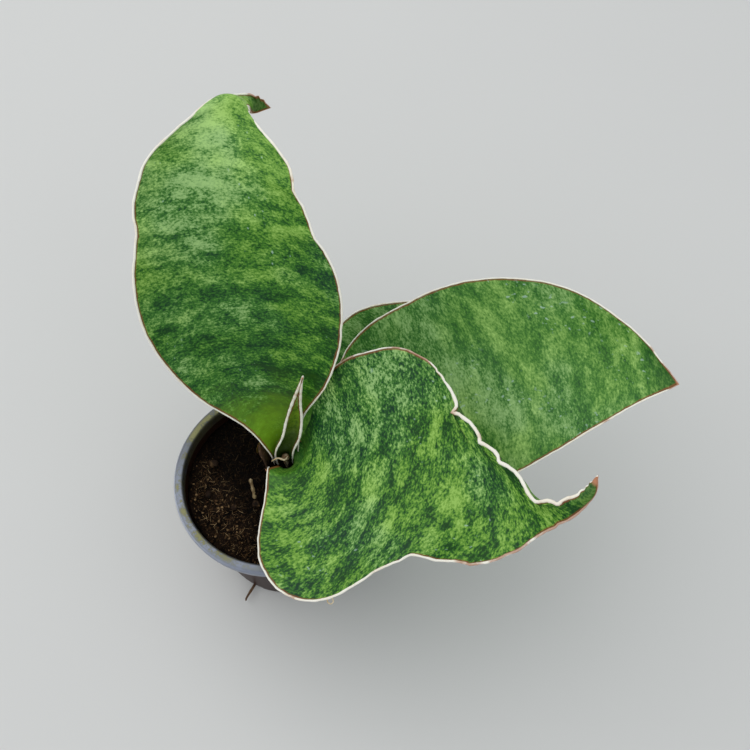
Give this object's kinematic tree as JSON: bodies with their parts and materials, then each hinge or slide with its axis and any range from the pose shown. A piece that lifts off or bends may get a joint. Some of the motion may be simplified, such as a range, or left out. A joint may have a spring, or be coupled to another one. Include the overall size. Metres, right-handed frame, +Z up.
{
  "type": "potted snake plant",
  "caption": "Young broad-leaved snake plant with mottled green, cream-edged leaves that spread from a sheathed crown, in a small round translucent nursery pot with soil.",
  "frame": {"origin": "middle of the flat underside of the pot", "axes": "+Z up, out of the pot's mouth; -Y is the front, where the viewer looks down on the plant; +X to the right, where two of the leaves reach"},
  "size_m": [0.147, 0.1246, 0.128],
  "materials": {
    "pot_plastic": "thin translucent blue-grey moulded plastic, satin, with yellow-green and chalky deposits on the lip",
    "soil": "damp dark brown peat with fine fibres and lighter crumbs",
    "rhizome": "pale orange-brown corky skin",
    "root": "thin brown fibrous root",
    "leaf": "waxy satin leaf, dark blue-green bands on mid green with fine grain and a cream margin",
    "young_leaf": "waxy satin yellow-green leaf with a broad cream margin",
    "dried_leaf": "dry papery brown leaf tissue",
    "dry_wood": "dry pale stick",
    "bark": "dry composted bark"
  },
  "bodies": {
    "root": {"pot": "pot_plastic", "soil": "soil", "rhizome": "rhizome", "twig": "dry_wood", "dried_bud": "dried_leaf", "dried_sheath": "dried_leaf", "leaf_left": "leaf", "leaf_front": "leaf", "leaf_right": "leaf", "leaf_back": "leaf", "leaf_young": "young_leaf", "root_1": "root", "root_2": "root", "root_3": "root", "root_4": "root", "root_5": "root", "bark_1": "bark", "bark_2": "bark", "bark_3": "bark", "bark_4": "bark"}
  },
  "joints": []
}
